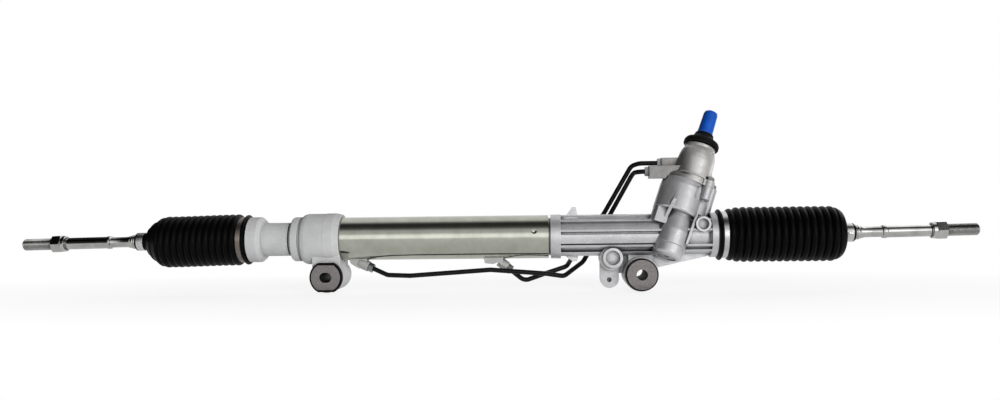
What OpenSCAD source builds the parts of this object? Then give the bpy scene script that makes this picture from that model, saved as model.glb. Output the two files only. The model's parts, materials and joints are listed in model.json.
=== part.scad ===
// Hydraulic rack and pinion steering gear: sleeve mounts, axial ball joints, bellows at both ends.
// All sizes in millimetres. Origin: centre of the round mounting bore at the gear side.
// +X runs to the gear-side end, +Z is up, -Y is the side the mounting bores are seen from.

/* [Layout] */
// Distance between the two mounting bores
mount_pitch = 417; // [390:1:440]
// Height of the rack axis over the mounting bores
mount_drop = 50; // [46:0.5:54]
// Full travel of the rack from stop to stop
stroke = 150; // [120:1:160]
// How far the rack stands to the right of its centre
rest_offset = 8; // [0:1:12]
// Distance from a ball centre to the tip of its tie rod
rod_length = 236; // [220:1:260]
// Ball centre of the left tie rod along X
left_ball_x = -611.5; // [-620:0.5:-600]
// Ball centre of the right tie rod along X
right_ball_x = 206; // [200:0.5:215]
// How far the left tie rod hangs below the rack axis as it stands, in degrees
left_droop = 0.9; // [0.4:0.1:2]
// How far the right tie rod rises above the rack axis as it stands, in degrees
right_rise = 0.9; // [0.4:0.1:2]

/* [Pinion tower] */
// Where the pinion axis passes nearest to the rack axis along X
pinion_x = 44; // [40:0.5:48]
// Lean of the pinion axis to the right, which is also the helix angle of the teeth
pinion_lean = 19.5; // [15:0.5:22]
// Tilt of the pinion axis to the back
pinion_tilt = 16; // [10:0.5:20]
// Outer radius of the lower tower
tower_r = 20.2; // [19:0.1:22]
// Outer radius of the upper tower
tower_upper_r = 26; // [25:0.1:28]
// Outer radius of the valve body
valve_r = 24.6; // [23.5:0.1:25]
// Radius of the wide chamber that the tower widens to under its joint
chamber_r = 31; // [30:0.1:32]
// Joint plane between gear housing and valve housing along the pinion axis
flange_s = 68; // [66:0.5:72]
// Top rim of the valve housing along the pinion axis
rim_s = 123; // [120:0.5:126]

/* [Gearing] */
// Normal module
gear_module = 2; // [1.8:0.05:2.2]
// Number of pinion teeth
teeth = 8; // [7:1:9]
// Profile shift of the pinion in modules
shift = 0.5; // [0.45:0.01:0.6]
// Tip radius of the pinion
pinion_tip_r = 11; // [10.6:0.05:11.2]
// Face length of the pinion
pinion_face = 32; // [28:0.5:34]
// Tooth thinning of the pinion at the pitch circle
backlash = 0.15; // [0.1:0.01:0.25]
// Distance of the rack's reference line from the rack axis
rack_line = 8.8; // [8.4:0.1:9.2]

/* [Rack] */
// Radius of the rack bar
rack_r = 14; // [13:0.1:15]
// Number of tooth spaces cut in the rack
rack_spaces = 29; // [27:1:31]
// Running clearance of seals, bearings and balls
running_gap = 0.05; // [0.03:0.01:0.1]
// Clearance between the faces of pieces that are pressed or screwed together
seat_gap = 0.03; // [0.02:0.01:0.05]

/* [Cylinder] */
// Outer radius of the cylinder tube
tube_r = 29; // [28:0.1:30]
// Bore radius of the cylinder tube
bore_r = 25; // [24:0.1:26]
// Left end of the cylinder tube along X
tube_left_x = -444; // [-446:0.5:-440]
// Right end of the cylinder tube along X
tube_right_x = -121; // [-123:0.5:-120]
// Thickness of the piston
piston_t = 18; // [16:0.5:20]
// Centre of the piston along X when the rack is centred
piston_mid_x = -280; // [-284:0.5:-276]

/* [Housings] */
// Left end face of the cylinder-end casting along X
left_end_x = -549; // [-551:0.5:-547]
// Right end face of the gear housing along X
right_end_x = 122.9; // [119:0.1:124]
// Radius of the boot seats
seat_r = 27.5; // [27:0.1:28]
// Length of the boot seats
seat_length = 22.4; // [20:0.1:24]
// Radius of the cups that take the ball sockets
cup_r = 21; // [20:0.1:22]
// Outer radius of the large drum on the cylinder-end casting
drum_r = 34.3; // [34:0.1:36]
// Core radius of the ribbed gear housing
core_r = 24.8; // [24.4:0.1:26]
// Radius over the ribs of the gear housing
rib_r = 29.2; // [28:0.1:30]
// Left end of the gear housing's plain end ring along X
barrel_left_x = -118.4; // [-119:0.1:-118]
// Radius of the plain end ring of the gear housing
ring_r = 29.5; // [29:0.1:30]

/* [Mounts] */
// Radius of the round mounting bore
bore_mount_r = 7.25; // [7:0.05:7.6]
// Half height of the slotted mounting bore
slot_r = 6.8; // [6.5:0.05:7.2]
// Extra width of the slotted mounting bore
slot_extra = 3; // [2:0.1:4]
// Length of both mount sleeves
sleeve_length = 70; // [66:0.5:74]
// Outer radius of the round mount rubber
rubber_r = 19; // [18.5:0.1:19.5]
// Outer radius of the round mount eye
eye_r = 22.7; // [22.5:0.1:24]

/* [Ball joints] */
// Ball radius
ball_r = 13; // [12:0.1:14]
// Outer radius of the ball seat
seat_out_r = 14.25; // [13.5:0.05:15]
// Outer radius of the ball socket
socket_r = 18; // [17:0.1:19]
// Radius of the tie rod thread
thread_r = 8; // [7:0.1:9]
// Across-flats size of the jam nut
nut_flats = 22; // [20:0.5:24]

/* [Boots] */
// Ridge radius of the left boot
left_ridge_r = 35; // [34:0.1:38]
// Ridge radius of the right boot
right_ridge_r = 36.6; // [35:0.1:39]
// Depth of the folds of the left boot
left_fold = 3; // [2:0.1:4]
// Depth of the folds of the right boot
right_fold = 3.9; // [3:0.1:5]
// Number of ridges of the left boot
left_ridges = 12; // [10:1:13]
// Number of ridges of the right boot
right_ridges = 15; // [12:1:16]
// Distance between ridges of the left boot
left_ridge_pitch = 8.8; // [7:0.1:9]
// Distance between ridges of the right boot
right_ridge_pitch = 9.4; // [8:0.1:9.5]
// Wall thickness of the boots
boot_wall = 1.4; // [1.2:0.1:2]
// Outer radius of the boot cuffs
cuff_r = 30.2; // [29.5:0.1:31]
// Width of the boot clamps
clamp_w = 6.4; // [5:0.1:7]
// Outer radius of the boot necks on the tie rods
neck_r = 11.4; // [11:0.1:12]
// Radius of the tie rods under the boot necks
neck_seat_r = 9; // [8.5:0.1:9.5]

/* [Hydraulic tubes] */
// Outer radius of the rigid tubes
pipe_r = 3.2; // [3:0.1:4]
// Bend radius of the rigid tubes
bend_r = 12; // [9:0.5:14]

/* [Hidden] */
$fn = 72;
lean = pinion_lean;
tilt = pinion_tilt;
rack_tip = rack_line + gear_module;
rack_root = rack_line - gear_module;
pitch_r = gear_module * teeth / (2 * cos(lean));
axis_gap = pitch_r + shift * gear_module + rack_line;
rack_pitch = PI * gear_module;
pressure_t = atan(tan(20) / cos(lean));
base_r = pitch_r * cos(pressure_t);
root_r = pitch_r - gear_module * (1.25 - shift);
pinion_twist = pinion_face * tan(lean) / pitch_r * 180 / PI;
tooth_arc = gear_module * (PI / 2 + 2 * shift * tan(20)) / cos(lean) - backlash;
tooth_half = tooth_arc / (2 * pitch_r) * 180 / PI;
left_stop_x = left_ball_x + 26 + stroke / 2 - rest_offset + 0.5;
right_stop_x = right_ball_x - 26 - stroke / 2 - rest_offset - 0.5;
piston_x = piston_mid_x + rest_offset;
ring_in_x = right_end_x - seat_length;
left_ring_in_x = left_end_x + seat_length;
bead_offset = 4;
clamp_offset = bead_offset + 2.9;
first_ridge_offset = bead_offset + 14;
neck_from = 58.5;
neck_to = 75.2;
collar_from = 75.6;
nut_from = rod_length - 60;
nut_t = 18;
thread_from = nut_from + nut_t;
thread_seat_r = thread_r - 0.25;
shank_r = thread_r + 0.3;
waist_r = 16.2;
chamber_at = [-5, 5, 0];
shoulder_s = 24;
socket_in = seat_out_r + running_gap;
ball_lip = 6.5;
chamber_right_x = -188;
spigot_x = -168;

function involute_at(r) = tan(acos(base_r / r)) * 180 / PI - acos(base_r / r);
function half_at(r) = tooth_half + involute_at(pitch_r) - involute_at(max(r, base_r));
flank_radii = [root_r, base_r, base_r + 0.5, pitch_r, pitch_r + 1, pinion_tip_r - 0.8, pinion_tip_r];

// Rack axis frame: local z runs along +X
module along_rack(x = 0) {
  translate([x, 0, mount_drop]) rotate([0, 90, 0]) children();
}

// Frame of one end: local z runs outwards from the ball centre of that end
module at_end(left) {
  if (left) translate([left_ball_x, 0, mount_drop]) rotate([0, -90, 0]) children();
  else translate([right_ball_x, 0, mount_drop]) rotate([0, 90, 0]) children();
}

// Frame of one tie rod: local z runs outwards from the ball centre along the rod
module at_rod(left) {
  if (left) translate([left_ball_x, 0, mount_drop]) rotate([0, -90 - left_droop, 0]) children();
  else translate([right_ball_x, 0, mount_drop]) rotate([0, 90 - right_rise, 0]) children();
}

// Rack frame turned by the tilt: local y points from the pinion to the guide
module rack_frame() {
  translate([0, 0, mount_drop]) rotate([-tilt, 0, 0]) children();
}

// Pinion frame: local z runs up the pinion axis, local x to the right, local y to the rack
module on_pinion(s = 0) {
  rack_frame() translate([pinion_x, -axis_gap, 0]) rotate([0, lean, 0]) translate([0, 0, s]) children();
}

// Guide frame: local z points away from the pinion, through the rack axis
module on_guide(d = 0) {
  rack_frame() translate([pinion_x, d, 0]) rotate([-90, 0, 0]) children();
}

module ring(r_out, r_in, h) {
  difference() {
    cylinder(r = r_out, h = h);
    translate([0, 0, -1]) cylinder(r = r_in, h = h + 2);
  }
}

// Ring along the rack axis from x0 to x1
module rack_ring(r_out, r_in, x0, x1) {
  along_rack(x0) ring(r_out, r_in, x1 - x0);
}

// Straight cylinder between two points
module rod_between(a, b, r) {
  d = b - a;
  translate(a)
    rotate([0, acos(d[2] / norm(d)), atan2(d[1], d[0])])
      cylinder(r = r, h = norm(d), $fn = 32);
}

// Quarter-like bend in the corner at b between the runs from a and to c
module bend_at(a, b, c, r) {
  u = (b - a) / norm(b - a);
  v = (c - b) / norm(c - b);
  turn = acos(u * v);
  t = bend_r * tan(turn / 2);
  n = cross(u, v) / norm(cross(u, v));
  m = cross(n, u);
  centre = b - u * t + m * bend_r;
  multmatrix([
    [-m[0], u[0], n[0], centre[0]],
    [-m[1], u[1], n[1], centre[1]],
    [-m[2], u[2], n[2], centre[2]],
    [0, 0, 0, 1]
  ])
    rotate_extrude(angle = turn, $fn = 64) translate([bend_r, 0]) circle(r = r, $fn = 32);
}

// Setback of a bend from its corner
function setback(a, b, c) = bend_r * tan(acos((b - a) * (c - b) / (norm(b - a) * norm(c - b))) / 2);

// Rigid pipe through a list of corners
module pipe(p, r) {
  last = len(p) - 1;
  for (i = [0 : last - 1]) {
    d = (p[i + 1] - p[i]) / norm(p[i + 1] - p[i]);
    from = i == 0 ? p[0] : p[i] + d * (setback(p[i - 1], p[i], p[i + 1]) - 0.2);
    to = i == last - 1 ? p[last] : p[i + 1] - d * (setback(p[i], p[i + 1], p[i + 2]) - 0.2);
    rod_between(from, to, r - 0.02);
  }
  for (i = [1 : last - 1]) bend_at(p[i - 1], p[i], p[i + 1], r);
}

left_pipe_path = [
  [-365, -6, 12.6], [-338, -11, 1], [-307, -14, 0], [-199, -16, 7.2], [-126, -14, 1.4],
  [-101, -6, -3], [-74, 24, 14], [-34, 42, 80], [-5, 22, 134], [0, 4.4, 135.6], [24, 4.4, 135.6]
];
right_pipe_path = [
  [-178, -1, 10], [-154, -3, -9], [-126, -3, 0.6], [-97, 9, 9], [-87, 34, 22],
  [-44, 42, 79], [-7, 24, 144], [3, 15.8, 147.2], [38, 15.8, 147.2]
];

module cylinder_casting() {
  ring_x = left_ring_in_x;
  color([0.72, 0.73, 0.74])
  difference() {
    union() {
      along_rack() rotate_extrude() polygon([
        [cup_r, left_end_x], [seat_r - 1, left_end_x], [seat_r, left_end_x + 1], [seat_r, ring_x],
        [30.7, ring_x], [30.7, ring_x + 13.6], [30, ring_x + 15.2], [27, ring_x + 18.6],
        [22.7, ring_x + 19.4], [22.5, ring_x + 54.6], [19.6, ring_x + 55.2], [19.6, ring_x + 59.4],
        [28.8, ring_x + 59.6], [30, ring_x + 61.4], [30, ring_x + 69.6], [28, ring_x + 70.2],
        [28, ring_x + 73], [31.6, ring_x + 73.6], [33.2, ring_x + 76], [drum_r, ring_x + 80],
        [drum_r, -422], [drum_r + 0.4, -421.4], [drum_r + 0.4, -409], [32.8, -400.5],
        [tube_r + seat_gap, -400.5], [tube_r + seat_gap, tube_left_x], [18, tube_left_x],
        [16, tube_left_x - 4], [16, left_stop_x + 6], [rack_r + 1, left_stop_x + 4],
        [rack_r + 1, left_stop_x], [cup_r, left_stop_x]
      ]);
      difference() {
        union() {
          translate([-mount_pitch, 29, 0]) rotate([90, 0, 0]) cylinder(r = 20.8, h = 56);
          translate([-mount_pitch - 20, -25, 0]) cube([37, 50, 36]);
        }
        along_rack(-460) cylinder(r = drum_r - 2, h = 80);
      }
    }
    translate([-mount_pitch, 40, 0]) rotate([90, 0, 0]) cylinder(r = 17.4, h = 80);
  }
}

module cylinder_tube() {
  color([0.62, 0.64, 0.6])
  difference() {
    rack_ring(tube_r, bore_r, tube_left_x, tube_right_x);
    for (x = [-372, -190]) {
      translate([x, 0, mount_drop - tube_r - 2]) cylinder(r = 2.5, h = 8);
    }
    for (a = [16, 136, 256]) translate([stake_x, 0, mount_drop]) rotate([-a, 0, 0])
      translate([0, -tube_r - 3.2, 0]) sphere(r = 4.8);
  }
}

// Fitting under the tube whose threaded end looks along the pipe
module port_boss(x, run, outline) {
  d = (run[1] - run[0]) / norm(run[1] - run[0]);
  difference() {
    union() {
      translate([x, 8, 0]) rotate([90, 0, 0]) linear_extrude(height = 17) polygon(outline);
      rod_between(run[0] - d * 12, run[0] + d, 7);
    }
    along_rack(x - 40) cylinder(r = tube_r, h = 80);
    rod_between(run[0] - d * 5, run[0] + d * 2, pipe_r + 0.3);
    translate([x, 0, 14]) cylinder(r = 2.5, h = 16);
  }
}

module left_port_boss() {
  color([0.6, 0.61, 0.6]) port_boss(-372, left_pipe_path, [[-20, 28], [-16.6, 16.6], [-5.3, 9.8], [5, 12.5], [6, 28]]);
}

module right_port_boss() {
  color([0.6, 0.61, 0.6]) port_boss(-190, right_pipe_path, [[-19, 28], [-17, 15.5], [-6, 14.2], [1, 16.5], [6, 12], [9, 28]]);
}

// Rib along the rack axis at an angle up from the front
module rib(angle, x0, x1, w) {
  translate([0, 0, mount_drop]) rotate([-angle, 0, 0])
    translate([x0, -rib_r, -w / 2]) cube([x1 - x0, rib_r - 18, w]);
}

// Pad of the ribbed barrel between two heights over the rack axis
module barrel_pad(z0, z1, r) {
  translate([0, 0, mount_drop]) intersection() {
    translate([barrel_left_x + 12, -rib_r, z0]) cube([130, 16, z1 - z0]);
    rotate([0, 90, 0]) cylinder(r = r, h = 400, center = true);
  }
}

module gear_housing_outside() {
  rack_ring(bore_r - seat_gap, 16, spigot_x, barrel_left_x + 1);
  rack_ring(ring_r, 16, barrel_left_x, -105);
  rack_ring(core_r, 16, -106, ring_in_x - 8);
  rack_ring(ring_r + 0.2, 16, ring_in_x - 8, ring_in_x);
  rack_ring(seat_r, 16, ring_in_x, right_end_x);
  for (a = front_ribs) rib(a, -106, ring_in_x - 4, 3);
  for (a = [78, 120, 240]) rib(a, -106, 24, 3);
  for (a = [150, 180, 210]) rib(a, -106, ring_in_x - 4, 3);
  rib(-42, 48, ring_in_x - 4, 3);
  barrel_pad(-8.7, 3.2, rib_r - 0.7);
  barrel_pad(-26.6, -20.4, rib_r - 0.4);
  barrel_pad(7.6, 16.5, rib_r - 2.6);
  translate([-96, -3, mount_drop]) lug_plate(12);
  translate([-96, -3, mount_drop]) mirror([0, 0, 1]) lug_plate(6);
  tower_outside();
  mount_outside();
}

// Triangular web standing on the ribbed barrel
module lug_plate(rise) {
  rotate([90, 0, 0]) translate([0, 0, -5]) linear_extrude(height = 9)
    polygon([[-6, rib_r - 6], [-1, rib_r - 1.5], [7, rib_r + rise - 2], [12, rib_r + rise - 2],
      [14, rib_r - 1], [14, rib_r - 6]]);
}

module tower_outside() {
  on_pinion(0) rotate_extrude() polygon([
    [0, -36], [tower_r - 4, -36], [tower_r - 1.4, -34.6], [tower_r, -31.5], [tower_r, -20.6], [tower_r - 0.7, -20.2],
    [tower_r - 0.7, -19.8], [tower_r, -19.4], [tower_r, 0], [waist_r + 1.8, 12], [waist_r, 21],
    [waist_r, shoulder_s], [tower_upper_r - 3, shoulder_s], [tower_upper_r - 3, flange_s], [0, flange_s]
  ]);
  on_pinion(0) translate(chamber_at) rotate_extrude() polygon([
    [0, shoulder_s], [chamber_r - 1.4, shoulder_s], [chamber_r, shoulder_s + 1.8], [chamber_r, flange_s - 8],
    [chamber_r - 1.2, flange_s], [0, flange_s]
  ]);
  intersection() {
    on_pinion(4) translate(chamber_at) cylinder(r = chamber_r - 0.4, h = shoulder_s);
    on_pinion(4) translate([-40, -13, 0]) cube([26, 40, shoulder_s]);
  }
  on_pinion(0) translate([0, 14, 0]) cylinder(r = 16, h = 40);
  on_pinion(50) translate(bolt_spots[0]) cylinder(r = 7.2, h = flange_s - 50);
  on_pinion(shoulder_s + 6) translate([18, 2, 0]) cylinder(r = 14, h = 30);
  on_pinion(shoulder_s) translate(bolt_spots[1]) cylinder(r = 7.5, h = flange_s - shoulder_s);
  on_pinion(shoulder_s) translate([6, 4, 0]) cube([24, 14, flange_s - shoulder_s]);
  tower_gusset(4, -14.5, 9, [[-24.5, 46], [-27.6, 36], [-27.6, 30], [-9, 6], [4, 6], [4, 46]]);
  tower_gusset(3, 20.6, 2, [[-12.5, 46], [-12.5, -14], [4, -14], [4, 46]]);
  on_guide(0) cylinder(r = 21, h = 40);
}

// Web on the tower across its front, outline in local y and z, leaning by an angle
module tower_gusset(w, x, angle, outline) {
  on_pinion(26) translate([x, 0, 0]) rotate([0, angle, 0]) translate([-w / 2, 0, -26])
    multmatrix([[0, 0, 1, 0], [1, 0, 0, 0], [0, 1, 0, 0], [0, 0, 0, 1]])
      linear_extrude(height = w) polygon(outline);
}

module mount_outside() {
  translate([0, 26, 0]) rotate([90, 0, 0]) cylinder(r = eye_r, h = 48);
  translate([-16, -14, 0]) cube([32, 34, 30]);
  translate([0, 12, 0]) rotate([90, 0, 0]) linear_extrude(height = 14)
    polygon([[10, 30], [10, 4], [23.6, 7.2], [89, 21.7], [94, 26], [94, 32]]);
  translate(front_boss) rotate([-90, 0, 0]) cylinder(r = 13, h = 40);
  translate(front_boss + [-1.4, 10, -1.6]) rotate([-90, 0, 0]) cylinder(r = 15.4, h = 30);
  translate([-40.5, -6, 0]) {
    rotate([-90, 0, 0]) cylinder(r = 12.4, h = 14);
    translate([0, 0, -7]) rotate([-90, 0, 0]) cylinder(r = 12.4, h = 14);
    translate([-12.4, 0, -7]) cube([24.8, 14, 34]);
  }
  translate([-30, 0, 0]) cube([20, 14, 24]);
  translate(right_boss) rotate([-90, 0, 0]) cylinder(r = 9.9, h = 26);
  translate(right_boss + [-1.4, 9, -1.4]) rotate([-90, 0, 0]) cylinder(r = 11.8, h = 17);
}

front_boss = [-37.3, -30, 22.3];
right_boss = [80.5, -31, 65.5];

module gear_housing() {
  color([0.76, 0.76, 0.77])
  difference() {
    gear_housing_outside();
    along_rack(spigot_x - 1) cylinder(r = rack_r + 0.6, h = right_end_x - spigot_x + 2);
    along_rack(-150) cylinder(r = 19, h = 140);
    along_rack(right_stop_x) cylinder(r = cup_r, h = 60);
    on_pinion(-37) cylinder(r = 13, h = 5.5);
    on_pinion(-32) cylinder(r = 11 + seat_gap, h = 12);
    on_pinion(-21) cylinder(r = pinion_tip_r + 0.6, h = 50);
    on_pinion(26) cylinder(r = 17 + seat_gap, h = 13);
    on_pinion(38) cylinder(r = 18, h = 60);
    on_guide(2) cylinder(r = 15 + running_gap, h = 50);
    for (p = bolt_spots) on_pinion(flange_s - 16) translate(p) cylinder(r = 3.4, h = 30);
    translate([0, 40, 0]) rotate([90, 0, 0]) cylinder(r = rubber_r + seat_gap, h = 80);
    on_pinion(47) translate([10, -32, 0]) cube([7.5, 14.4, 17]);
    translate(front_boss - [0, 1, 0]) rotate([-90, 0, 0]) cylinder(r = 9.6, h = 10);
    translate([-41, -7, -8.3]) rotate([-90, 0, 0]) cylinder(r = 3.2, h = 7);
    translate(right_boss - [0, 1, 0]) rotate([-90, 0, 0]) cylinder(r = 7.2, h = 11);
    translate([ring_in_x - 13, -34, mount_drop - 9]) cube([3.6, 13, 14]);
    rack_ring(bore_r + 2, bore_r - 3, stake_x - 4, stake_x + 4);
  }
}

bolt_spots = [[23.5, -14, 0], [31, 13, 0], [-27, 14, 0]];
front_ribs = [48, 17, -25];
stake_x = -140;

module valve_housing() {
  color([0.7, 0.69, 0.67])
  difference() {
    union() {
      on_pinion(flange_s) translate(chamber_at) cylinder(r = chamber_r - 1.2, h = 5);
      on_pinion(flange_s + 5) translate(chamber_at) cylinder(r1 = chamber_r - 1.2, r2 = chamber_r - 4, h = 3);
      on_pinion(flange_s - 6) cylinder(r = 18 - running_gap, h = 8);
      on_pinion(flange_s) cylinder(r = valve_r, h = 101 - flange_s);
      on_pinion(flange_s + 8) cylinder(r1 = tower_upper_r + 0.6, r2 = valve_r, h = 3);
      on_pinion(101) cylinder(r1 = valve_r, r2 = 24, h = 6);
      on_pinion(107) cylinder(r1 = 24, r2 = 22.8, h = 6);
      on_pinion(113) cylinder(r1 = 22.8, r2 = 20.4, h = 6);
      on_pinion(119) cylinder(r = 20.4, h = rim_s - 119);
      for (p = bolt_spots) on_pinion(flange_s) translate(p) cylinder(r = 7.6, h = 8);
      on_pinion(flange_s) translate([16, -20, 0]) cube([10, 14, 8]);
      on_pinion(flange_s) translate([12, 4, 0]) cube([20, 14, 8]);
      on_pinion(flange_s) translate([-28, -2, 0]) cube([16, 22, 8]);
      on_pinion(flange_s) rotate([90, 0, 0]) translate([0, 0, -3]) linear_extrude(height = 10)
        polygon([[10, 8], [28, 8], [28, 14], [22, 26], [10, 26]]);
      difference() {
        translate([14, -9, 126]) cube([54, 20, 17]);
        on_pinion(flange_s - 30) translate(chamber_at) cylinder(r = chamber_r + 0.3, h = 30);
      }
      translate([32, 6, 140]) cube([44, 20, 14]);
      on_pinion(86) translate([0, 16, 0]) rotate([-90, 0, 0]) cylinder(r = 11, h = 19);
      on_pinion(108) translate([8, 14, 0]) rotate([-90, 0, 0]) cylinder(r = 9, h = 19);
    }
    on_pinion(flange_s - 8) cylinder(r = 17.2 + running_gap, h = 47);
    on_pinion(flange_s + 38) cylinder(r = 13 + seat_gap, h = 30);
    on_pinion(flange_s + 46) cylinder(r = 15 + seat_gap, h = 30);
    for (p = bolt_spots) on_pinion(flange_s - 1) translate(p) cylinder(r = 3.4, h = 10);
    for (p = bolt_spots) on_pinion(flange_s + 8) translate(p) cylinder(r = 7, h = 40);
    rod_between([10, 4.4, 135.6], [40, 4.4, 135.6], pipe_r + 0.3);
    rod_between([28, 15.8, 147.2], [54, 15.8, 147.2], pipe_r + 0.3);
    on_pinion(86) translate([0, 20, 0]) rotate([-90, 0, 0]) cylinder(r = 7, h = 20);
    on_pinion(108) translate([8, 18, 0]) rotate([-90, 0, 0]) cylinder(r = 5.25, h = 20);
  }
}

module flange_bolts() {
  color([0.55, 0.56, 0.58])
  for (p = bolt_spots) on_pinion(flange_s) translate(p) {
    translate([0, 0, -15]) cylinder(r = 3.4 - seat_gap, h = 23);
    translate([0, 0, 8]) cylinder(r = 6.6, h = 1.2);
    translate([0, 0, 9.2]) cylinder(r = 5.8, h = 4.5, $fn = 6);
  }
}

module bottom_plug() {
  color([0.55, 0.56, 0.58])
  on_pinion(-35) difference() {
    cylinder(r = 13 - seat_gap, h = 3);
    translate([0, 0, -1]) cylinder(r = 4, h = 2.5, $fn = 6);
  }
}

module lower_bearing() {
  color([0.6, 0.61, 0.63])
  on_pinion(-31.5) ring(11, 6.5 + running_gap, 11);
}

module upper_bearing() {
  color([0.6, 0.61, 0.63])
  on_pinion(26) ring(17, 9 + running_gap, 12);
}

module input_bearing() {
  color([0.6, 0.61, 0.63])
  on_pinion(flange_s + 38.5) ring(13, 9 + running_gap, 7);
}

module input_seal() {
  color([0.06, 0.06, 0.06])
  on_pinion(flange_s + 46) ring(15, 9 + running_gap, 7);
}

module cylinder_bush() {
  color([0.7, 0.71, 0.72])
  difference() {
    rack_ring(bore_r - seat_gap, rack_r + running_gap, tube_left_x, -400);
    along_rack(-410) cylinder(r = 19, h = 12);
    along_rack(-430) ring(bore_r + 1, bore_r - 2.2, 3);
  }
}

module left_rod_seal() {
  color([0.06, 0.06, 0.06])
  rack_ring(19 - seat_gap, rack_r + running_gap, -409.9, -401);
}

module seal_carrier() {
  color([0.7, 0.71, 0.72])
  difference() {
    rack_ring(bore_r - seat_gap, rack_r + 0.4, chamber_right_x, spigot_x);
    along_rack(chamber_right_x + 8) cylinder(r = 19, h = 30);
    along_rack(chamber_right_x + 3) ring(bore_r + 1, bore_r - 2.2, 3);
  }
}

module right_rod_seal() {
  color([0.06, 0.06, 0.06])
  rack_ring(19 - seat_gap, rack_r + running_gap, chamber_right_x + 8.1, spigot_x - 1);
}

module rack_guide() {
  color([0.74, 0.74, 0.75])
  difference() {
    on_guide(8) cylinder(r = 15, h = 16);
    along_rack(pinion_x - 40) cylinder(r = rack_r + running_gap, h = 80);
    on_guide(18) cylinder(r = 9, h = 10);
  }
}

module guide_spring() {
  color([0.4, 0.41, 0.43])
  on_guide(18) for (i = [0 : 3]) translate([0, 0, 1.2 + i * 2.3]) rotate_extrude() translate([6.5, 0]) circle(r = 1.15);
}

module guide_plug() {
  color([0.55, 0.56, 0.58])
  difference() {
    on_guide(24.5) cylinder(r = 15, h = 22);
    on_guide(23) cylinder(r = 9, h = 5.35);
    on_guide(40) cylinder(r = 7, h = 8, $fn = 6);
  }
}

module guide_locknut() {
  color([0.55, 0.56, 0.58])
  on_guide(40) difference() {
    cylinder(r = 21, h = 6, $fn = 8);
    translate([0, 0, -1]) cylinder(r = 15 + seat_gap, h = 9);
  }
}

// Disc along Y with flats above and below
module flat_disc(r, half, y0, y1) {
  intersection() {
    translate([0, y1, 0]) rotate([90, 0, 0]) cylinder(r = r, h = y1 - y0);
    translate([-r - 1, y0 - 1, -half]) cube([2 * r + 2, y1 - y0 + 2, 2 * half]);
  }
}

module slot_hole(extra) {
  for (x = [-slot_extra / 2, slot_extra / 2]) {
    translate([x, 40, 0]) rotate([90, 0, 0]) cylinder(r = slot_r + extra, h = 80);
  }
  translate([-slot_extra / 2, -40, -slot_r - extra]) cube([slot_extra, 80, 2 * slot_r + 2 * extra]);
}

module left_mount_rubber() {
  color([0.05, 0.05, 0.05])
  translate([-mount_pitch, 0, 0]) difference() {
    union() {
      translate([0, 33.5, 0]) rotate([90, 0, 0]) cylinder(r = 17.4 - seat_gap, h = 61);
      flat_disc(22, 19.4, -32.5, -27);
      translate([0, 35, 0]) rotate([90, 0, 0]) cylinder(r = 19.5, h = 2);
    }
    translate([0, 40, 0]) rotate([90, 0, 0]) cylinder(r = 12 + seat_gap, h = 80);
  }
}

module left_mount_sleeve() {
  color([0.55, 0.54, 0.53])
  translate([-mount_pitch, 0, 0]) difference() {
    union() {
      translate([0, sleeve_length / 2, 0]) rotate([90, 0, 0]) cylinder(r = 12, h = sleeve_length);
      flat_disc(19.2, 16.2, -sleeve_length / 2, -32.6);
    }
    slot_hole(0);
  }
}

module right_mount_rubber() {
  color([0.05, 0.05, 0.05])
  difference() {
    union() {
      translate([0, 32.4, 0]) rotate([90, 0, 0]) cylinder(r = rubber_r, h = 65.8);
      translate([0, -26.5, 0]) rotate([90, 0, 0]) cylinder(r = rubber_r + 2.3, h = 6.9);
      translate([0, 32.4, 0]) rotate([90, 0, 0]) cylinder(r = rubber_r + 2.3, h = 5.9);
    }
    translate([0, 40, 0]) rotate([90, 0, 0]) cylinder(r = 11 + seat_gap, h = 80);
  }
}

module right_mount_sleeve() {
  color([0.55, 0.54, 0.53])
  difference() {
    union() {
      translate([0, sleeve_length / 2, 0]) rotate([90, 0, 0]) cylinder(r = 11, h = sleeve_length);
      translate([0, -33.45, 0]) rotate([90, 0, 0]) cylinder(r = 19.4, h = sleeve_length / 2 - 33.45);
      translate([0, sleeve_length / 2, 0]) rotate([90, 0, 0]) cylinder(r = 19.4, h = sleeve_length / 2 - 32.45);
    }
    translate([0, 40, 0]) rotate([90, 0, 0]) cylinder(r = bore_mount_r, h = 80);
  }
}

module left_port_pipe() {
  color([0.04, 0.04, 0.045]) pipe(left_pipe_path, pipe_r);
}

module right_port_pipe() {
  color([0.04, 0.04, 0.045]) pipe(right_pipe_path, pipe_r);
}

// Union nut on a pipe end; a lies on the fitting's face, the nut runs towards b
module pipe_nut(a, b, h) {
  d = (b - a) / norm(b - a);
  difference() {
    translate(a) rotate([0, acos(d[2]), atan2(d[1], d[0])]) cylinder(r = 6.2, h = h, $fn = 6);
    rod_between(a - d * 2, a + d * 20, pipe_r + 0.05);
  }
}

module pipe_nuts() {
  color([0.45, 0.46, 0.46]) {
    pipe_nut(left_pipe_path[0] + port_step(left_pipe_path, 0), left_pipe_path[1], 7);
    pipe_nut(right_pipe_path[0] + port_step(right_pipe_path, 0), right_pipe_path[1], 7);
    pipe_nut([14, 4.4, 135.6], [0, 4.4, 135.6], 5);
    pipe_nut([32, 15.8, 147.2], [3, 15.8, 147.2], 5);
  }
}

function port_step(p, i) = (p[i + 1] - p[i]) / norm(p[i + 1] - p[i]);

// Ring clamp with a folded ear at the back
module boot_clamp(x0) {
  difference() {
    union() {
      rack_ring(cuff_r + 1, cuff_r + running_gap, x0, x0 + clamp_w);
      translate([x0 + 0.4, cuff_r - 0.4, mount_drop - 4]) cube([clamp_w - 0.8, 5, 8]);
    }
    along_rack(x0 - 5) cylinder(r = cuff_r + running_gap, h = clamp_w + 10);
  }
}

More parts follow.
